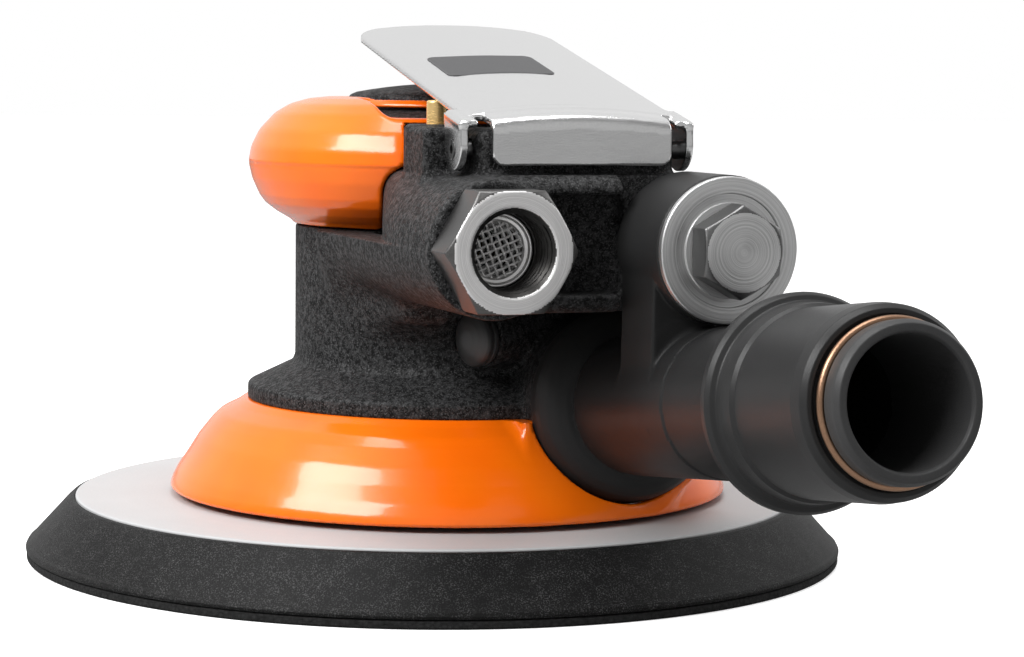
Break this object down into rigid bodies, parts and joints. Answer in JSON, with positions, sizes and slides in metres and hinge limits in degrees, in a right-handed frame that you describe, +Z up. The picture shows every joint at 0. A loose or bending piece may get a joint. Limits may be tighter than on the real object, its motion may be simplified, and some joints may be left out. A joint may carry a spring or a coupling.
{
  "type": "pneumatic random orbital sander",
  "caption": "Palm-grip pneumatic random orbital sander with round foam pad, moulded shroud, sprung throttle lever, threaded air inlet and a swivelling dust hose spigot.",
  "frame": {"origin": "centre of the sanding face on the motor axis", "axes": "+Z up along the motor axis, -Y to the rear where the air inlet and the suction tube are, +X to the suction tube's side"},
  "size_m": [0.15, 0.2234, 0.0974],
  "materials": {
    "housing": "fine wrinkle texture, moulded composite",
    "grip": "glossy orange moulding",
    "shroud": "glossy orange moulding",
    "steel_turned": "turned and oiled steel",
    "screen": "woven wire",
    "screen_ring": "stamped steel",
    "seal_rubber": "moulded rubber",
    "brass": "turned brass",
    "spring_steel": "drawn wire",
    "lever": "polished plated sheet steel",
    "label": "printed film, blank",
    "regulator": "smooth satin moulding",
    "motor_steel": "ground steel",
    "lock_ring": "turned aluminium",
    "felt": "pressed felt",
    "vane": "phenolic laminate",
    "fastener_steel": "plated steel",
    "pad_plate": "light grey moulded plastic",
    "pad_foam": "skinned polyurethane foam",
    "hook_face": "hook tape",
    "tube": "fine satin moulding",
    "washer": "turned steel",
    "adapter": "fine satin moulding",
    "copper_ring": "copper-coloured wire",
    "bearing_steel": "polished bearing steel"
  },
  "bodies": {
    "tool": {"housing": "housing", "grip": "grip", "shroud": "shroud", "inlet_bushing": "steel_turned", "inlet_screen": "screen", "screen_ring": "screen_ring", "valve_seat": "seal_rubber", "valve_spring": "spring_steel", "stem_bushing": "brass", "lever_pin": "spring_steel", "cylinder": "motor_steel", "rear_end_plate": "motor_steel", "front_end_plate": "motor_steel", "cylinder_pins": "motor_steel", "lock_ring": "lock_ring", "dust_seal": "felt", "housing_oring": "seal_rubber", "rear_bearing_outer": "bearing_steel", "front_bearing_outer": "bearing_steel", "suction_tube": "tube", "lug_seal": "seal_rubber", "lug_washer": "washer", "lug_bolt": "fastener_steel", "adapter_ring": "copper_ring"},
    "lever": {"lever": "lever", "lever_label": "label"},
    "throttle_stem": {"valve_stem": "brass", "stem_oring": "seal_rubber"},
    "tip_valve": {"valve_tip": "brass"},
    "regulator": {"regulator": "regulator", "regulator_oring": "seal_rubber"},
    "motor_shaft": {"rotor": "motor_steel", "vanes": "vane", "rotor_key": "motor_steel", "shaft_ring": "spring_steel", "shaft_balancer": "motor_steel", "rear_bearing_inner": "bearing_steel", "rear_bearing_balls": "bearing_steel", "front_bearing_inner": "bearing_steel", "front_bearing_balls": "bearing_steel", "spindle_bearing_outer": "bearing_steel", "spindle_circlip": "spring_steel"},
    "pad": {"spindle_bearing_inner": "bearing_steel", "spindle_bearing_balls": "bearing_steel", "spindle": "motor_steel", "spindle_washer": "motor_steel", "spindle_screw": "fastener_steel", "pad_stud": "fastener_steel", "pad_plate": "pad_plate", "pad_foam": "pad_foam", "hook_face": "hook_face"},
    "hose_adapter": {"hose_adapter": "adapter"}
  },
  "joints": [
    {"name": "lever_press", "type": "hinge", "parent": "tool", "child": "lever", "pos_m": [0, -0.061, 0.0762], "axis": [-1, 0, 0], "range_deg": [0, 7.4], "stiffness_Nm_per_rad": 0.9, "springref_deg": -6.88},
    {"name": "stem_press", "type": "slide", "parent": "tool", "child": "throttle_stem", "axis": [0, 0, -1], "range_m": [0, 0.0022]},
    {"name": "valve_tilt", "type": "hinge", "parent": "tool", "child": "tip_valve", "pos_m": [-0.018, -0.0571, 0.0653], "axis": [-1, 0, 0], "range_deg": [0, 10]},
    {"name": "regulator_turn", "type": "hinge", "parent": "tool", "child": "regulator", "pos_m": [-0.007, -0.0325, 0.0426], "axis": [0.9505, 0.3107, 0], "range_deg": [0, 90]},
    {"name": "rotor_spin", "type": "hinge", "parent": "tool", "child": "motor_shaft", "pos_m": [0, 0, 0.05], "axis": [0, 0, 1], "continuous": true},
    {"name": "pad_spin", "type": "hinge", "parent": "motor_shaft", "child": "pad", "pos_m": [-0.00237, 0.00079, 0.02], "axis": [0, 0, 1], "continuous": true},
    {"name": "hose_swivel", "type": "hinge", "parent": "tool", "child": "hose_adapter", "pos_m": [0.018, -0.12642, 0.04159], "axis": [0, -0.9932, 0.1162], "continuous": true}
  ],
  "couplings": [
    {"joint": "stem_press", "follows": "lever_press", "m_per_rad": 0.01626},
    {"joint": "valve_tilt", "follows": "lever_press", "ratio": 1.343}
  ]
}
